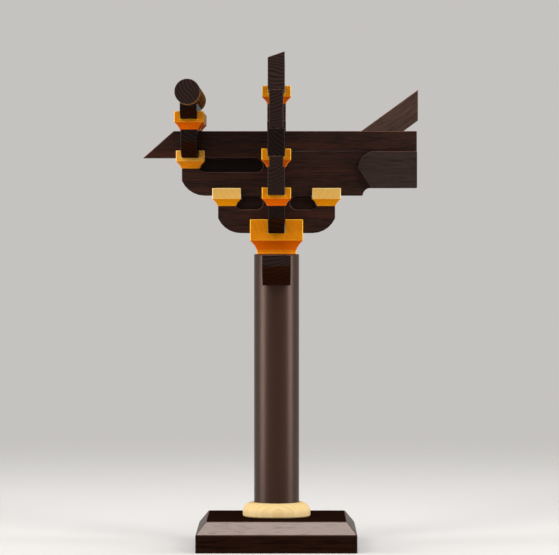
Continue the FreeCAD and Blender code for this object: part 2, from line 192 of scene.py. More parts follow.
# %% Floor
FLOOR_RADIUS = 0.9
FADE_START = 0.2
CORNERS = 64
PAPER_COLOUR = (0.72, 0.70, 0.68, 1.0)

turns = [2 * math.pi * k / CORNERS for k in range(CORNERS)]
rim = [(FLOOR_RADIUS * math.cos(turn), FLOOR_RADIUS * math.sin(turn), 0.0) for turn in turns]
floor_mesh = bpy.data.meshes.new("floor")
floor_mesh.from_pydata(rim, [], [range(CORNERS)])
floor = bpy.data.objects.new("floor", floor_mesh)
scene.collection.objects.link(floor)

floor_finish = bpy.data.materials.new("floor_paper")
floor_finish.use_nodes = True
tree = floor_finish.node_tree
paper = tree.nodes["Principled BSDF"]
paper.inputs["Base Color"].default_value = PAPER_COLOUR
paper.inputs["Roughness"].default_value = 0.9
paper.inputs["Specular IOR Level"].default_value = 0.1
spot = tree.nodes.new("ShaderNodeTexCoord").outputs["Object"]
away = node(tree, "ShaderNodeVectorMath", {0: spot}, operation="LENGTH").outputs["Value"]
gone = ease(tree, away, FADE_START, FLOOR_RADIUS)
clear = tree.nodes.new("ShaderNodeBsdfTransparent")
faded = node(tree, "ShaderNodeMixShader", {0: gone, 1: paper.outputs[0], 2: clear.outputs[0]})
tree.links.new(faded.outputs[0], tree.nodes["Material Output"].inputs["Surface"])
floor_mesh.materials.append(floor_finish)
floor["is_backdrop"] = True
print("floor radius in m:", FLOOR_RADIUS)

# %% [markdown]
# ## Solid wood
# Wood isn't a skin. The same rings and pores run through a whole piece, as streaks along its sides and as
# arcs and dots on its cut ends. So the finish is a pattern in space: every piece lays the grain along its
# own length, and a point's colour depends on how far it lies from the heart of the tree. One node group
# holds that rule, and each wood gives it other colours and sizes. An image of wood would be quicker, but it
# would bend at every edge.

# %% The solid-wood group
COLOUR_INPUTS = ("Ground", "Dark", "Streak", "Cut end", "Cut end dark")
NUMBER_INPUTS = {
    "Ring gap": 1.6,  # between growth rings, in mm
    "Ring depth": 0.6,
    "End ring depth": 0.8,
    "Streak depth": 0.5,
    "Pore depth": 0.5,
    "Fibre depth": 1.0,
    "Least roughness": 0.30,
}


def stretched(tree, place, across, along):
    """The place with its two directions across the grain and the one along it scaled."""
    return calc(tree, "MULTIPLY", place, (across, across, along), kind="ShaderNodeVectorMath")


def noise(tree, place, detail, roughness=0.5):
    inputs = {"Vector": place, "Scale": 1.0, "Detail": detail, "Roughness": roughness}
    return node(tree, "ShaderNodeTexNoise", inputs).outputs[0]


def solid_wood_group():
    """A place in mm, with the grain along Z, becomes a colour, a height and a roughness."""
    tree = bpy.data.node_groups.new("solid_wood", "ShaderNodeTree")
    face = tree.interface
    face.new_socket("Place", in_out="INPUT", socket_type="NodeSocketVector")
    face.new_socket("Cut", in_out="INPUT", socket_type="NodeSocketFloat")
    for name in COLOUR_INPUTS:
        face.new_socket(name, in_out="INPUT", socket_type="NodeSocketColor")
    for name, value in NUMBER_INPUTS.items():
        face.new_socket(name, in_out="INPUT", socket_type="NodeSocketFloat").default_value = value
    for name, kind in (("Color", "Color"), ("Height", "Float"), ("Roughness", "Float")):
        face.new_socket(name, in_out="OUTPUT", socket_type="NodeSocket" + kind)

    given = tree.nodes.new("NodeGroupInput").outputs
    place, cut = given["Place"], given["Cut"]
    sway = noise(tree, stretched(tree, place, 0.06, 0.008), 2)
    fibre = noise(tree, stretched(tree, place, 2.7, 0.10), 5, 0.75)
    band = noise(tree, stretched(tree, place, 0.30, 0.012), 3)
    cells = node(tree, "ShaderNodeTexVoronoi", {"Vector": stretched(tree, place, 2.0, 0.11), "Scale": 1.0})
    pore = calc(tree, "SUBTRACT", 1.0, ease(tree, cells.outputs["Distance"], 0.12, 0.34))

    heart = node(tree, "ShaderNodeVectorMath", {0: stretched(tree, place, 1.0, 0.0)}, operation="LENGTH")
    turns = calc(tree, "DIVIDE", heart.outputs["Value"], given["Ring gap"])
    turns = calc(tree, "MULTIPLY_ADD", sway, 5.0, turns)
    turns = calc(tree, "MULTIPLY_ADD", fibre, 0.5, turns)
    turn = calc(tree, "FRACT", turns)
    late = calc(tree, "SUBTRACT", ease(tree, turn, 0.25, 0.88), ease(tree, turn, 0.90, 1.0))
    ring = calc(tree, "MULTIPLY", late, given["Ring depth"])

    fibres = calc(tree, "MULTIPLY", calc(tree, "SUBTRACT", fibre, 0.47), given["Fibre depth"])
    shade = node(tree, "ShaderNodeMath", {0: ring, 1: fibres}, operation="ADD", use_clamp=True).outputs[0]
    pores = calc(tree, "MULTIPLY", pore, given["Pore depth"])
    streaks = calc(tree, "MULTIPLY", ease(tree, band, 0.48, 0.66), given["Streak depth"])
    long_grain = blend(tree, shade, given["Ground"], given["Dark"])
    long_grain = blend(tree, streaks, long_grain, given["Streak"])
    long_grain = blend(tree, pores, long_grain, given["Dark"])
    end_ring = calc(tree, "MULTIPLY", late, given["End ring depth"])
    end_shade = node(tree, "ShaderNodeMath", {0: end_ring, 1: pores}, operation="ADD", use_clamp=True)
    end_grain = blend(tree, end_shade.outputs[0], given["Cut end"], given["Cut end dark"])

    height = calc(tree, "SUBTRACT", calc(tree, "MULTIPLY", fibre, 0.5), pores)
    rough = calc(tree, "MULTIPLY_ADD", fibre, 0.20, given["Least roughness"])
    rough = calc(tree, "MULTIPLY_ADD", cut, 0.14, rough)
    result = tree.nodes.new("NodeGroupOutput")
    tree.links.new(blend(tree, cut, long_grain, end_grain), result.inputs["Color"])
    tree.links.new(height, result.inputs["Height"])
    tree.links.new(rough, result.inputs["Roughness"])
    return tree


SOLID_WOOD = solid_wood_group()
print("nodes in the wood group:", len(SOLID_WOOD.nodes))

# %% [markdown]
# ## The woods
# The dark timber is a dense, nearly black-brown wood with reddish streaks, and its cut ends look greyer.
# The bearing blocks are a close-grained orange-yellow wood: where the blade crosses its fibres, as on the
# taper, the oil sinks in and the colour deepens. The ring is a pale wood. Every wood comes in two finishes,
# one for the faces and a lighter one for the arrises, the narrow rounded edges. Their lighter colour is
# partly wear, rubbed bright in patches, and partly a painted highlight that grows where they face up, as
# the light falls from above. Each timber's tone is partly its own and partly painted shade. Some faces get
# painted light of their own: painted shade on the flats under an arm's end and in the hollows, a painted
# reflection on the purlin's turned side, and partly a painted highlight on the plinth's bevel.

# %% Colours of each wood
WOODS = {
    "timber": {
        "Ground": linear(52, 30, 22),
        "Dark": linear(10, 5, 4),
        "Streak": linear(70, 34, 24),
        "Cut end": linear(54, 39, 34),
        "Cut end dark": linear(24, 16, 14),
        "Ring gap": 1.5,
        "Ring depth": 0.3,
        "Streak depth": 0.5,
        "Pore depth": 0.75,
        "Fibre depth": 5.0,
    },
    # Painted reflection: the purlin's turned side, seen nearly edge-on, is painted a much lighter brown in
    # place of the sheen it would show. Its own shine is off.
    "matt_painted_reflection": {
        "Ground": linear(125, 86, 48),
        "Dark": linear(98, 64, 34),
        "Streak": linear(134, 92, 52),
        "Cut end": linear(52, 38, 33),
        "Cut end dark": linear(26, 17, 14),
        "Ring gap": 1.5,
        "Ring depth": 0.5,
    },
    # Painted shade: the flats under an arm's end face down, away from the light, and are painted a darker
    # red-brown.
    "facet": {
        "Ground": linear(38, 17, 8),
        "Dark": linear(25, 10, 4),
        "Streak": linear(44, 21, 10),
        "Cut end": linear(38, 17, 8),
        "Cut end dark": linear(26, 10, 4),
        "Ring depth": 0.3,
        "Fibre depth": 0.5,
        "Least roughness": 0.25,
    },
    # Painted shade: the floor of a hollow in a timber's cheek is painted darker for the shade that falls in
    # it.
    "hollow": {
        "Ground": linear(33, 20, 14),
        "Dark": linear(15, 8, 5),
        "Streak": linear(30, 17, 12),
        "Cut end": linear(26, 15, 10),
        "Cut end dark": linear(14, 7, 4),
        "Ring depth": 0.4,
    },
    "cheek": {
        "Ground": linear(48, 34, 28),
        "Dark": linear(12, 7, 6),
        "Streak": linear(54, 36, 31),
        "Cut end": linear(54, 41, 36),
        "Cut end dark": linear(30, 21, 18),
        "Ring gap": 1.5,
        "Ring depth": 0.3,
        "Streak depth": 0.3,
        "Pore depth": 0.7,
        "Fibre depth": 4.5,
    },
    "column": {
        "Ground": linear(36, 19, 12),
        "Dark": linear(26, 13, 9),
        "Streak": linear(40, 21, 14),
        "Cut end": linear(70, 56, 50),
        "Cut end dark": linear(44, 32, 28),
        "Ring gap": 2.6,
        "Ring depth": 0.2,
        "Streak depth": 0.25,
        "Pore depth": 0.25,
        "Fibre depth": 0.6,
        "Least roughness": 0.28,
    },
    "plinth": {
        "Ground": linear(34, 18, 12),
        "Dark": linear(8, 3, 2),
        "Streak": linear(34, 17, 11),
        "Cut end": linear(36, 23, 18),
        "Cut end dark": linear(20, 12, 9),
        "Ring gap": 2.4,
        "Ring depth": 0.4,
        "Streak depth": 0.3,
        "Pore depth": 0.4,
        "Fibre depth": 4.0,
    },
    # Partly painted highlight: the plinth's upward bevel is painted lighter than its faces, on top of the
    # real reflection that its high shine gives.
    "plinth_bevel_highlight": {
        "Ground": linear(46, 32, 26),
        "Dark": linear(30, 19, 15),
        "Streak": linear(54, 36, 29),
        "Cut end": linear(46, 33, 27),
        "Cut end dark": linear(30, 20, 16),
        "Ring gap": 2.4,
        "Ring depth": 0.4,
        "Streak depth": 0.3,
        "Pore depth": 0.4,
        "Least roughness": 0.14,
    },
    "strut": {
        "Ground": linear(69, 50, 41),
        "Dark": linear(20, 13, 10),
        "Streak": linear(62, 41, 34),
        "Cut end": linear(62, 48, 42),
        "Cut end dark": linear(40, 29, 24),
        "Ring gap": 1.7,
        "Ring depth": 0.3,
        "Streak depth": 0.3,
        "Pore depth": 0.7,
        "Fibre depth": 4.0,
    },
    "orange_block": {
        "Ground": linear(214, 129, 8),
        "Dark": linear(194, 102, 3),
        "Streak": linear(218, 138, 16),
        "Cut end": linear(211, 93, 0),
        "Cut end dark": linear(192, 75, 0),
        "Ring gap": 1.7,
        "Ring depth": 0.25,
        "Streak depth": 0.5,
        "Pore depth": 0.1,
        "Fibre depth": 0.3,
        "End ring depth": 0.25,
    },
    "honey_block": {
        "Ground": linear(233, 163, 58),
        "Dark": linear(221, 143, 38),
        "Streak": linear(237, 173, 68),
        "Cut end": linear(214, 126, 14),
        "Cut end dark": linear(198, 110, 6),
        "Ring gap": 1.7,
        "Ring depth": 0.25,
        "Streak depth": 0.5,
        "Pore depth": 0.1,
        "Fibre depth": 0.4,
        "End ring depth": 0.25,
    },
    "pale_block": {
        "Ground": linear(221, 178, 94),
        "Dark": linear(209, 158, 70),
        "Streak": linear(226, 186, 106),
        "Cut end": linear(226, 142, 5),
        "Cut end dark": linear(210, 124, 3),
        "Ring gap": 1.7,
        "Ring depth": 0.25,
        "Streak depth": 0.5,
        "Pore depth": 0.1,
        "Fibre depth": 0.4,
        "End ring depth": 0.25,
    },
    "ring": {
        "Ground": linear(222, 193, 138),
        "Dark": linear(210, 160, 80),
        "Streak": linear(228, 202, 150),
        "Cut end": linear(222, 194, 138),
        "Cut end dark": linear(210, 174, 108),
        "Ring gap": 2.2,
        "Ring depth": 0.2,
        "Streak depth": 0.4,
        "Pore depth": 0.12,
        "Fibre depth": 0.6,
    },
    "peg": {
        "Ground": linear(214, 178, 128),
        "Dark": linear(190, 150, 100),
        "Streak": linear(222, 190, 142),
        "Cut end": linear(204, 166, 116),
        "Cut end dark": linear(176, 136, 90),
        "Ring gap": 1.2,
    },
}
# Arris gains: partly wear and partly a painted highlight. The more an arris faces up, the lighter it is
# painted, as if lit from above.
WEAR_AND_HIGHLIGHT_GAINS = {
    "orange_block": (1.45, 2.6, 9.0, 1.0),
    "honey_block": (1.25, 1.8, 3.4, 1.0),
    "pale_block": (1.25, 1.7, 3.6, 1.0),
    "ring": (1.0, 1.0, 1.0, 1.0),
}
TIMBER_WEAR_AND_HIGHLIGHT_GAIN = (6.0, 5.2, 4.8, 1.0)
BLOCK_UPWARD_HIGHLIGHT = (-0.6, 0.3)  # how far an arris faces up where the painted highlight starts and where it is full
TIMBER_UPWARD_HIGHLIGHT = (-0.3, 1.0)
EVEN_WEAR_AND_HIGHLIGHT = 0.3  # the share of the wear and painted highlight that is everywhere, and the share that comes in patches
PATCHY_WEAR_AND_HIGHLIGHT = 1.4
CUT_FACING = (0.25, 0.75)  # how far a face looks along the grain where the cut look starts and is full
END_SHINE_LOSS = 0.8  # the share of the shine that a cut end loses
ARRIS_SHINE = 0.25
SHINE = {
    "timber": 0.1,
    "matt_painted_reflection": 0.0,
    "hollow": 0.05,
    "facet": 0.0,
    "cheek": 0.15,
    "strut": 0.15,
    "column": 0.36,
    "plinth": 0.0,
    "plinth_bevel_highlight": 0.9,
}
BLOCK_SHINE = 0.08
POLISH_TINTS = {"column": (1.0, 0.68, 0.56, 1.0), "plinth_bevel_highlight": (1.0, 0.82, 0.74, 1.0)}
NO_TINT = (1.0, 1.0, 1.0, 1.0)
BUMP_DEPTH = 0.03 * MM
STRUT_SLOPE = math.radians(36)
BLOCK_TILT = math.radians(20)  # the blocks are cut a little across the trunk, so that arches show
GRAIN_TURNS = {
    "x": (0.0, -math.pi / 2, 0.0),
    "y": (math.pi / 2, 0.0, 0.0),
    "z": (0.0, 0.0, 0.0),
    "slope": (0.0, STRUT_SLOPE - math.pi / 2, 0.0),
    "block": (BLOCK_TILT, 0.0, 0.0),
}
HEART_FAR = 38.0  # mm from the middle of a piece to the heart of its tree
TREE_STEP = 53.0  # mm up the tree from one finish to the next, so that no two pieces look alike


# %% One finish of a wood
# A tone below 1 darkens a colour. For a whole timber it is partly the wood's own tone and partly painted
# shade, darkest on the pieces that lie in the shade of others. In a hollow it is deeper painted shade.
def toned_and_shaded(colour, tone_and_shade):
    return (*[c * tone_and_shade for c in colour[:3]], 1.0)


def wood_finish(name, wood, grain, heart, tone_and_shade=1.0, wear_and_highlight=None):
    """A material whose grain runs along `grain`. `heart` is where the tree's heart lies, in turned mm.

    With a wear and highlight amount, from 0 upwards, it is the finish of an arris. The arris is lighter,
    partly from wear and partly from a painted highlight that grows where it faces up."""
    finish = bpy.data.materials.new(name)
    finish.use_nodes = True
    tree = finish.node_tree
    surface = tree.nodes["Principled BSDF"]
    turn = GRAIN_TURNS[grain]
    scale = (1 / MM, 1 / MM, 1 / MM)
    where = tree.nodes.new("ShaderNodeTexCoord").outputs
    layout = {"Vector": where["Object"], "Location": heart, "Rotation": turn, "Scale": scale}
    place = node(tree, "ShaderNodeMapping", layout)
    turned = {"Vector": where["Normal"], "Rotation": turn}
    facing = node(tree, "ShaderNodeMapping", turned, vector_type="VECTOR")
    across = node(tree, "ShaderNodeSeparateXYZ", {0: facing.outputs[0]}).outputs["Z"]
    cut = ease(tree, calc(tree, "ABSOLUTE", across), *CUT_FACING)
    group = node(tree, "ShaderNodeGroup", node_tree=SOLID_WOOD)
    for key, value in WOODS[wood].items():
        group.inputs[key].default_value = toned_and_shaded(value, tone_and_shade) if key in COLOUR_INPUTS else value
    tree.links.new(place.outputs[0], group.inputs["Place"])
    tree.links.new(cut, group.inputs["Cut"])
    relief = {"Height": group.outputs["Height"], "Distance": BUMP_DEPTH, "Strength": 1.0}
    bump = node(tree, "ShaderNodeBump", relief)
    colour = group.outputs["Color"]
    # Wear and painted highlight: the arris is painted lighter the more it faces up, in patches.
    if wear_and_highlight is not None:
        up = node(tree, "ShaderNodeSeparateXYZ", {0: where["Normal"]}).outputs["Z"]
        wear_and_highlight_share = ease(tree, up, *(BLOCK_UPWARD_HIGHLIGHT if wood in WEAR_AND_HIGHLIGHT_GAINS else TIMBER_UPWARD_HIGHLIGHT))
        patchy = noise(tree, stretched(tree, place.outputs[0], 0.6, 0.25), 3)
        wear_and_highlight_amount = calc(tree, "MULTIPLY_ADD", patchy, PATCHY_WEAR_AND_HIGHLIGHT * wear_and_highlight, EVEN_WEAR_AND_HIGHLIGHT * wear_and_highlight)
        wear_and_highlight_share = calc(tree, "MULTIPLY", wear_and_highlight_share, wear_and_highlight_amount)
        gain = blend(tree, wear_and_highlight_share, NO_TINT, WEAR_AND_HIGHLIGHT_GAINS.get(wood, TIMBER_WEAR_AND_HIGHLIGHT_GAIN))
        product = {"data_type": "RGBA", "blend_type": "MULTIPLY", "clamp_result": True}
        colour = node(tree, "ShaderNodeMix", {0: 1.0, 6: colour, 7: gain}, **product).outputs[2]
    tree.links.new(colour, surface.inputs["Base Color"])
    tree.links.new(group.outputs["Roughness"], surface.inputs["Roughness"])
    tree.links.new(bump.outputs[0], surface.inputs["Normal"])
    shine = SHINE.get(wood, BLOCK_SHINE) if wear_and_highlight is None else ARRIS_SHINE
    gloss = calc(tree, "MULTIPLY_ADD", cut, -END_SHINE_LOSS * shine, shine)
    tree.links.new(gloss, surface.inputs["Specular IOR Level"])
    surface.inputs["Specular Tint"].default_value = POLISH_TINTS.get(wood, NO_TINT)
    return finish


def heart_of(source, grain, lean):
    """Where the heart lies for one node: far to the side that gives its cut ends rings with this lean."""
    low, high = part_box(source)
    centre = Euler(GRAIN_TURNS[grain]).to_matrix() @ ((low + high) / 2 / MM)
    away = Vector((-math.sin(math.radians(lean)), math.cos(math.radians(lean)), 0.0)) * HEART_FAR
    along = Vector((0.0, 0.0, TREE_STEP * len(bpy.data.materials)))
    return away - centre + along


def finishes(piece, wood, grain, source, lean=0.0, tone_and_shade=1.0, wear_and_highlight=1.0):
    """The face finish and the arris finish of one piece, each piece cut from its own part of the tree."""
    heart = heart_of(source, grain, lean)
    face = wood_finish(f"{piece}_{wood}", wood, grain, heart, tone_and_shade)
    return [face, wood_finish(f"{piece}_{wood}_arris", wood, grain, heart, tone_and_shade, wear_and_highlight)]


print("woods:", ", ".join(WOODS))

# %% [markdown]
# ## Softened edges
# No edge on a handled piece of wood is perfectly sharp. The maker takes every arris off with a pass of the
# plane, and that narrow round is what catches the light along a beam. The Bevel modifier cuts it, but only
# where it should: the edge has to stick out, be a real corner, and not be one of the short steps round a
# peg hole. So those edges are marked first. Smaller corners, such as the flats under an arm's end, stay
# crisp.

# %% Mark and round the arrises
CORNER = math.radians(35)
CRISP = math.radians(11)
SHORTEST = 0.02 * MM


def mark_arrises(shape):
    """Gives a bevel weight to every arris, and a sharp line to the other corners."""
    layers = shape.edges.layers.float
    weight = layers.get("bevel_weight_edge") or layers.new("bevel_weight_edge")
    for edge in shape.edges:
        angle = edge.calc_face_angle(0.0)
        is_arris = angle > CORNER and edge.is_convex and edge.calc_length() > SHORTEST
        edge[weight] = 1.0 if is_arris else 0.0
        edge.smooth = is_arris or angle < CRISP
    for face in shape.faces:
        face.smooth = True


def soften(piece, width):
    """Rounds the marked arrises, in the second finish, and shades the flats as flats."""
    bevel = piece.modifiers.new("arris", "BEVEL")
    bevel.limit_method = "WEIGHT"
    bevel.width = width
    bevel.segments = 3
    bevel.material = 1
    bevel.use_clamp_overlap = False
    normals = piece.modifiers.new("flats", "WEIGHTED_NORMAL")
    normals.keep_sharp = True


def place_piece(name, mesh, looks, body, nodes):
    """Links a finished mesh as a piece that rides on its body and stands for its nodes."""
    piece = bpy.data.objects.new(name, mesh)
    scene.collection.objects.link(piece)
    mesh.materials.clear()
    for look in looks:
        mesh.materials.append(look)
    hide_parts(*nodes)
    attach(piece, body)
    return piece


# %% [markdown]
# ## Timbers
# The arms, beams, panels and turned pieces already have their exact shape in the frame, laps, hollows and
# faceted ends included. Each is copied, because the frame itself is never touched. The copy's loose
# triangles are merged and the flat ones joined into whole faces, so that the bevel finds clean edges.

# %% Copy a node and dress it
WELD = 0.002 * MM
FLAT = math.radians(0.4)
wall_low, wall_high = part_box("beak_beam")
TIMBER_HALF = (wall_high.y - wall_low.y) / 2


def merged_mesh(name, source):
    """A clean mesh of a frame node."""
    old = frame["nodes"][source].data
    mesh = bpy.data.meshes.new(name)
    mesh.from_pydata([v.co for v in old.vertices], [], [tuple(p.vertices) for p in old.polygons])
    shape = bmesh.new()
    shape.from_mesh(mesh)
    bmesh.ops.remove_doubles(shape, verts=shape.verts, dist=WELD)
    bmesh.ops.dissolve_limit(shape, angle_limit=FLAT, verts=shape.verts, edges=shape.edges)
    mark_arrises(shape)
    shape.to_mesh(mesh)
    shape.free()
    return mesh


def is_facet(face):
    """One of the flats carved under an arm's end."""
    return -0.999 < face.normal.z < -0.3


def is_hollow(face):
    """The floor of a hollow in a timber's cheek."""
    return abs(face.normal.y) > 0.99 and TIMBER_HALF / 2 < abs(face.center.y) < TIMBER_HALF - 0.5 * MM


def is_round(face):
    """The turned side of the purlin, and not its ends."""
    return abs(face.normal.y) < 0.5


def is_bevel(face):
    """A face that slants upwards."""
    return 0.3 < face.normal.z < 0.95


def is_cheek(face):
    """A cheek that stands proud of the timber's own thickness."""
    return abs(face.center.y) > TIMBER_HALF + 0.1 * MM


def dress(source, wood, grain, round_over, lean=0.0, tone_and_shade=1.0, wear_and_highlight=1.0, special=()):
    """A softened copy of one frame node.

    `special` gives a wood, a test and a tone for faces that differ; a tone below 1 paints deeper shade.
    """
    name = source + "_wood"
    looks = finishes(source, wood, grain, source, lean, tone_and_shade, wear_and_highlight)
    looks += [finishes(source, other, grain, source, lean, shade)[0] for other, belongs, shade in special]
    piece = place_piece(name, merged_mesh(name, source), looks, body_of[source], [source])
    for index, (other, belongs, shade) in enumerate(special, start=2):
        chosen = [face for face in piece.data.polygons if belongs(face)]
        for face in chosen:
            face.material_index = index
        print(source, other, "faces:", len(chosen))
    soften(piece, round_over)


# %% Dress every timber
TIMBER_ROUND = 0.35 * MM
PLINTH_ROUND = 0.3 * MM
TURNED_ROUND = 0.2 * MM
# Painted shade on the flats under an arm's end.
FACET_SHADE = ("facet", is_facet, 1.0)
# Painted shade in the hollows. The cross beam's hollow, under the beak beam, gets a deeper painted shade.
HOLLOW_SHADE = ("hollow", is_hollow, 1.0)
SHADED_HOLLOW = ("hollow", is_hollow, 0.5)
CHEEK = ("cheek", is_cheek, 1.0)
# Painted reflection on the purlin's turned side.
ROUND_SIDE_REFLECTION = ("matt_painted_reflection", is_round, 1.0)
# The plinth's upward bevel: a real reflection, and partly a painted highlight.
BEVEL = ("plinth_bevel_highlight", is_bevel, 1.0)
TIMBERS = {
    # node: its grain, the lean of the rings on its ends in degrees, its tone, which is partly painted shade,
    # its wear, with the painted highlight on its arrises, and its special faces
    "front_tie_beam_head": ("y", -8, 0.60, 2.0, [FACET_SHADE]),
    "rear_tie_beam_head": ("y", 12, 0.60, 2.0, [FACET_SHADE]),
    "wall_arm": ("y", 20, 0.35, 1.0, [FACET_SHADE]),
    "projecting_arm": ("x", 20, 0.80, 0.4, [FACET_SHADE, HOLLOW_SHADE]),
    "lower_wall_beam": ("y", -25, 0.58, 1.0, []),
    "cross_beam": ("x", 10, 0.90, 0.3, [SHADED_HOLLOW, CHEEK]),
    "purlin_arm": ("y", 30, 0.38, 1.0, [FACET_SHADE]),
    "upper_wall_beam": ("y", 35, 0.30, 1.0, []),
    "beak_beam": ("x", 5, 0.85, 1.2, []),
    "purlin_plate": ("y", -5, 0.40, 1.0, [FACET_SHADE]),
    "round_purlin": ("y", 50, 0.70, 0.6, [ROUND_SIDE_REFLECTION]),
    "camel_hump": ("y", 8, 0.80, 1.0, []),
    "dish_plate": ("y", 0, 0.80, 1.0, []),
    "front_infill_panel": ("y", -15, 0.62, 1.0, []),
    "rear_infill_panel": ("y", 12, 0.62, 1.0, []),
    "rafter_beam": ("y", 15, 0.78, 1.0, []),
}
for source, (grain, lean, tone_and_shade, wear_and_highlight, special) in TIMBERS.items():
    dress(source, "timber", grain, TIMBER_ROUND, lean, tone_and_shade, wear_and_highlight, special)
dress("slant_strut", "strut", "slope", TIMBER_ROUND)
dress("column", "column", "z", TURNED_ROUND)
dress("base_plinth", "plinth", "x", PLINTH_ROUND, special=[BEVEL])
dress("column_ring", "ring", "z", TURNED_ROUND)
print("timbers dressed:", len(TIMBERS))

# %% [markdown]
# ## Bearing blocks
# Every bearing block follows one rule: a square foot, a hollowed taper, a short upright band, and ears that
# are left standing when the slot for the timber is cut. Because it is a rule, Geometry Nodes build it. A
# cube with a few levels is the blank. Each level is set to its height and width by a formula, the slots and
# the peg hole are cut away, and the block is set on every point of a short line. The same tree makes the
# large cap block.

# %% The bearing-block tree
TAPER_STEPS = 6
SAG = 8.0  # makes the taper's curve as deep as the hollow says, halfway up and on both sides
HOLE_SIDES = 24
LENGTHS = (
    "Wide",
    "Foot wide",
    "Taper high",
    "Flat high",
    "Ear high",
    "Hollow",
    "Slot wide",
    "Peg hole wide",
    "Peg hole deep",
)


def tree_with(name, lengths, extras):
    """A Geometry Nodes tree with named inputs and one geometry output."""
    tree = bpy.data.node_groups.new(name, "GeometryNodeTree")
    for label in lengths:
        tree.interface.new_socket(label, in_out="INPUT", socket_type="NodeSocketFloat")
    for label, kind in extras.items():
        tree.interface.new_socket(label, in_out="INPUT", socket_type="NodeSocket" + kind)
    tree.interface.new_socket("Geometry", in_out="OUTPUT", socket_type="NodeSocketGeometry")
    return tree, tree.nodes.new("NodeGroupInput").outputs


ROW_INPUTS = {"Count": "Int", "First": "Vector", "Step": "Vector", "Wood": "Material"}


def set_in_row(tree, given, shape):
    """Sets the shape on a line of points, makes the copies real and gives them their wood."""
    spread = {"Count": given["Count"], "Start Location": given["First"], "Offset": given["Step"]}
    line = node(tree, "GeometryNodeMeshLine", spread)
    copies = node(tree, "GeometryNodeInstanceOnPoints", {"Points": line.outputs[0], "Instance": shape})
    real = node(tree, "GeometryNodeRealizeInstances", {0: copies.outputs[0]})
    finished = node(tree, "GeometryNodeSetMaterial", {"Geometry": real.outputs[0], "Material": given["Wood"]})
    result = tree.nodes.new("NodeGroupOutput")
    tree.links.new(finished.outputs[0], result.inputs[0])


def cutter(tree, size, height):
    """A box to cut with, standing on the given height."""
    cube = node(tree, "GeometryNodeMeshCube", {"Size": size})
    lift = node(tree, "ShaderNodeCombineXYZ", {2: height})
    moved = {"Geometry": cube.outputs[0], "Translation": lift.outputs[0]}
    return node(tree, "GeometryNodeTransform", moved).outputs[0]


def bearing_block_tree():
    extras = {"Slot along X": "Bool", "Slot along Y": "Bool", **ROW_INPUTS}
    tree, given = tree_with("bearing_blocks", LENGTHS, extras)
    blank = node(tree, "GeometryNodeMeshCube", {"Size": (1.0, 1.0, 1.0), "Vertices Z": TAPER_STEPS + 2})
    corner = tree.nodes.new("GeometryNodeInputPosition").outputs[0]
    at = node(tree, "ShaderNodeSeparateXYZ", {0: corner}).outputs
    level = calc(tree, "MULTIPLY", calc(tree, "ADD", at["Z"], 0.5), TAPER_STEPS + 1)
    up = calc(tree, "MINIMUM", calc(tree, "DIVIDE", level, TAPER_STEPS), 1.0)
    sag = calc(tree, "MULTIPLY", calc(tree, "MULTIPLY", up, calc(tree, "SUBTRACT", 1.0, up)), given["Hollow"])
    spread = calc(tree, "SUBTRACT", given["Wide"], given["Foot wide"])
    wide = calc(tree, "MULTIPLY_ADD", spread, up, given["Foot wide"])
    wide = calc(tree, "MULTIPLY_ADD", sag, -SAG, wide)
    bearing = calc(tree, "ADD", given["Taper high"], given["Flat high"])
    upright = calc(tree, "ADD", given["Flat high"], given["Ear high"])
    past = calc(tree, "MAXIMUM", calc(tree, "SUBTRACT", level, TAPER_STEPS), 0.0)
    rest = calc(tree, "MULTIPLY", past, upright)
    height = calc(tree, "MULTIPLY_ADD", given["Taper high"], up, rest)
    across = {0: calc(tree, "MULTIPLY", at["X"], wide), 1: calc(tree, "MULTIPLY", at["Y"], wide)}
    spot = node(tree, "ShaderNodeCombineXYZ", {**across, 2: height})
    blank = node(tree, "GeometryNodeSetPosition", {"Geometry": blank.outputs[0], "Position": spot.outputs[0]})

    long = calc(tree, "MULTIPLY", given["Wide"], 2.0)
    tall = calc(tree, "MULTIPLY", given["Ear high"], 2.0)
    top = calc(tree, "ADD", bearing, given["Ear high"])
    cuts = []
    slot_wide = given["Slot wide"]
    for axis, size in (("X", {0: long, 1: slot_wide, 2: tall}), ("Y", {0: slot_wide, 1: long, 2: tall})):
        slot = cutter(tree, node(tree, "ShaderNodeCombineXYZ", size).outputs[0], top)
        choice = {"Switch": given["Slot along " + axis], "True": slot}
        cuts.append(node(tree, "GeometryNodeSwitch", choice, input_type="GEOMETRY").outputs[0])
    radius = calc(tree, "DIVIDE", given["Peg hole wide"], 2.0)
    depth = calc(tree, "MULTIPLY", given["Peg hole deep"], 2.0)
    hole = {"Vertices": HOLE_SIDES, "Radius": radius, "Depth": depth}
    cuts.append(node(tree, "GeometryNodeMeshCylinder", hole).outputs["Mesh"])
    cut = node(tree, "GeometryNodeMeshBoolean", {0: blank.outputs[0]}, operation="DIFFERENCE")
    for tool in cuts:
        tree.links.new(tool, cut.inputs[1])
    set_in_row(tree, given, cut.outputs[0])
    return tree


BEARING_BLOCKS = bearing_block_tree()
print("nodes in the block tree:", len(BEARING_BLOCKS.nodes))


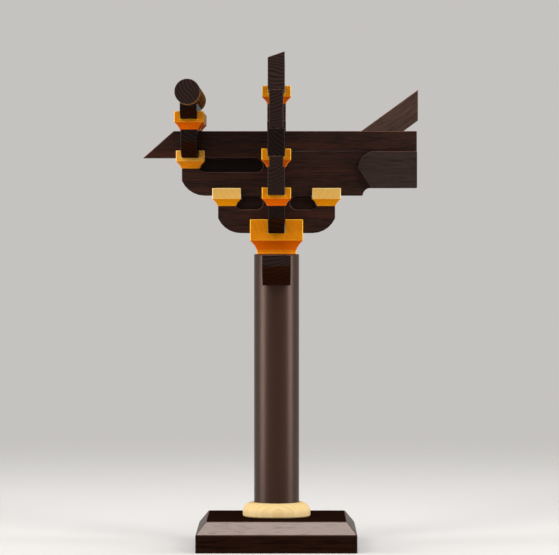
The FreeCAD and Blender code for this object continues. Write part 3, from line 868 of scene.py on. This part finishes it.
# %% Run a tree and keep its mesh
def run_tree(name, tree, values):
    """The plain mesh that a tree makes from named values, with its arrises marked."""
    carrier = bpy.data.objects.new(name, bpy.data.meshes.new(name))
    scene.collection.objects.link(carrier)
    modifier = carrier.modifiers.new("shape", "NODES")
    modifier.node_group = tree
    for item in tree.interface.items_tree:
        if item.in_out == "INPUT":
            modifier[item.identifier] = values[item.name]
    depsgraph = bpy.context.evaluated_depsgraph_get()
    mesh = bpy.data.meshes.new_from_object(carrier.evaluated_get(depsgraph))
    bpy.data.objects.remove(carrier)
    mesh.name = name
    shape = bmesh.new()
    shape.from_mesh(mesh)
    bmesh.ops.remove_doubles(shape, verts=shape.verts, dist=WELD)
    mark_arrises(shape)
    shape.to_mesh(mesh)
    shape.free()
    return mesh


def row(nodes):
    """The middle of the first node's underside, and the step from it to the next."""
    feet = []
    for source in nodes:
        low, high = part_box(source)
        feet.append(Vector(((low.x + high.x) / 2, (low.y + high.y) / 2, low.z)))
    return {"Count": len(nodes), "First": feet[0], "Step": feet[-1] - feet[0]}


# %% Every bearing block
BLOCK = {
    "Foot wide": 8.6 * MM,
    "Taper high": 3.2 * MM,
    "Flat high": 1.6 * MM,
    "Hollow": 0.42 * MM,  # 0.35 in the frame
    "Slot wide": 7.8 * MM,
    "Peg hole wide": 2.5 * MM,
    "Peg hole deep": 2.7 * MM,
}
CAP = {
    "Foot wide": 18.0 * MM,
    "Taper high": 6.3 * MM,
    "Flat high": 3.4 * MM,
    "Hollow": 1.0 * MM,  # 0.9 in the frame
    "Slot wide": 7.8 * MM,
    "Peg hole wide": 6.2 * MM,  # a round hole, where the frame has a square mortise
    "Peg hole deep": 4.2 * MM,
}
BLOCK_ROUND = 0.32 * MM
BLOCK_LEAN = 25.0  # degrees
BLOCK_ROWS = {
    "cap": (["cap_block"], "xy", "orange_block"),
    "wall_arm": (["wall_arm_front_block", "wall_arm_rear_block"], "y", "orange_block"),
    "side": (["outer_side_block", "inner_side_block"], "x", "pale_block"),
    "wall_beam": (["wall_beam_front_block", "wall_beam_rear_block"], "y", "orange_block"),
    "cross": (["cross_block"], "xy", "honey_block"),
    "purlin_arm": (["purlin_arm_front_block", "purlin_arm_rear_block"], "y", "orange_block"),
    "centre": (["centre_block"], "y", "orange_block"),
    "hump": (["hump_block"], "y", "orange_block"),
}


def bearing_blocks(place, nodes, slots, wood):
    """One piece for all the blocks that stand on the same timber."""
    low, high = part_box(nodes[0])
    sizes = dict(CAP if place == "cap" else BLOCK)
    sizes["Wide"] = high.x - low.x
    sizes["Ear high"] = high.z - low.z - sizes["Taper high"] - sizes["Flat high"]
    looks = finishes(place + "_blocks", wood, "block", nodes[0], lean=BLOCK_LEAN)
    ways = {"Slot along X": "x" in slots, "Slot along Y": "y" in slots}
    mesh = run_tree(place + "_blocks", BEARING_BLOCKS, {**sizes, **ways, **row(nodes), "Wood": looks[0]})
    piece = place_piece(place + "_blocks", mesh, looks, body_of[nodes[0]], nodes)
    soften(piece, BLOCK_ROUND)
    return piece


for place, (nodes, slots, wood) in BLOCK_ROWS.items():
    made = bearing_blocks(place, nodes, slots, wood)
    print(made.name, "faces:", len(made.data.polygons))

# %% [markdown]
# ## Pegs and dowels
# Hidden pegs keep the blocks, the hump and the panels in their places, and they show once the puzzle is
# lifted apart. A peg is a short cylinder whose ends are chamfered so that it finds its hole. It repeats, so
# it gets a small tree of its own: a ring of corners is swept up a line, and the ends are drawn in.

# %% The peg tree
PEG_SIDES = 28


def peg_tree():
    lengths = ("Wide", "Long", "Chamfer")
    tree, given = tree_with("pegs", lengths, ROW_INPUTS)
    unit = {"Vertices": PEG_SIDES, "Side Segments": 3, "Radius": 1.0, "Depth": 1.0}
    blank = node(tree, "GeometryNodeMeshCylinder", unit)
    corner = tree.nodes.new("GeometryNodeInputPosition").outputs[0]
    at = node(tree, "ShaderNodeSeparateXYZ", {0: corner}).outputs
    side = calc(tree, "SIGN", at["Z"])
    is_end = calc(tree, "GREATER_THAN", calc(tree, "ABSOLUTE", at["Z"]), 0.4)
    half = calc(tree, "DIVIDE", given["Long"], 2.0)
    drawn = calc(tree, "MULTIPLY", calc(tree, "SUBTRACT", 1.0, is_end), given["Chamfer"])
    height = calc(tree, "MULTIPLY", side, calc(tree, "SUBTRACT", half, drawn))
    radius = calc(tree, "DIVIDE", given["Wide"], 2.0)
    radius = calc(tree, "SUBTRACT", radius, calc(tree, "MULTIPLY", is_end, given["Chamfer"]))
    across = {0: calc(tree, "MULTIPLY", at["X"], radius), 1: calc(tree, "MULTIPLY", at["Y"], radius)}
    spot = node(tree, "ShaderNodeCombineXYZ", {**across, 2: calc(tree, "ADD", height, half)})
    moved = {"Geometry": blank.outputs["Mesh"], "Position": spot.outputs[0]}
    peg = node(tree, "GeometryNodeSetPosition", moved)
    set_in_row(tree, given, peg.outputs[0])
    return tree


PEGS = peg_tree()
PEG_WIDE = 2.4 * MM
PEG_CHAMFER = 0.3 * MM
PEG_HEART = (3.0, 2.0, 0.0)  # mm
PEG_GROUPS = (
    "wall_arm_pegs",
    "side_block_pegs",
    "wall_beam_pegs",
    "cross_block_peg",
    "purlin_arm_pegs",
    "centre_block_peg",
    "hump_block_peg",
    "hump_dowels",
    "front_panel_dowels",
    "rear_panel_dowels",
)
peg_look = wood_finish("peg_wood", "peg", "z", PEG_HEART)
for source in PEG_GROUPS:
    low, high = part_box(source)
    span = high - low
    across = Vector((span.x - PEG_WIDE, span.y - PEG_WIDE, 0.0))
    first = low + Vector((PEG_WIDE / 2, PEG_WIDE / 2, 0.0))
    count = 2 if across.length > PEG_WIDE else 1
    sizes = {"Wide": PEG_WIDE, "Long": span.z, "Chamfer": PEG_CHAMFER}
    places = {"Count": count, "First": first, "Step": across}
    mesh = run_tree(source + "_wood", PEGS, {**sizes, **places, "Wood": peg_look})
    place_piece(source + "_wood", mesh, [peg_look], body_of[source], [source])
print("peg groups:", len(PEG_GROUPS))

# %% [markdown]
# ## The size
# The dressed puzzle has to fill the frame and stay inside it. The rounded arrises make it 0.2 mm shorter at
# the beak's tip and 0.1 mm lower at the top. Both boxes are written down to be compared.

# %% Sizes
bpy.context.view_layer.update()
low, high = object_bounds()
print("size of the dressed puzzle in mm:", [round(x / MM, 2) for x in high - low])
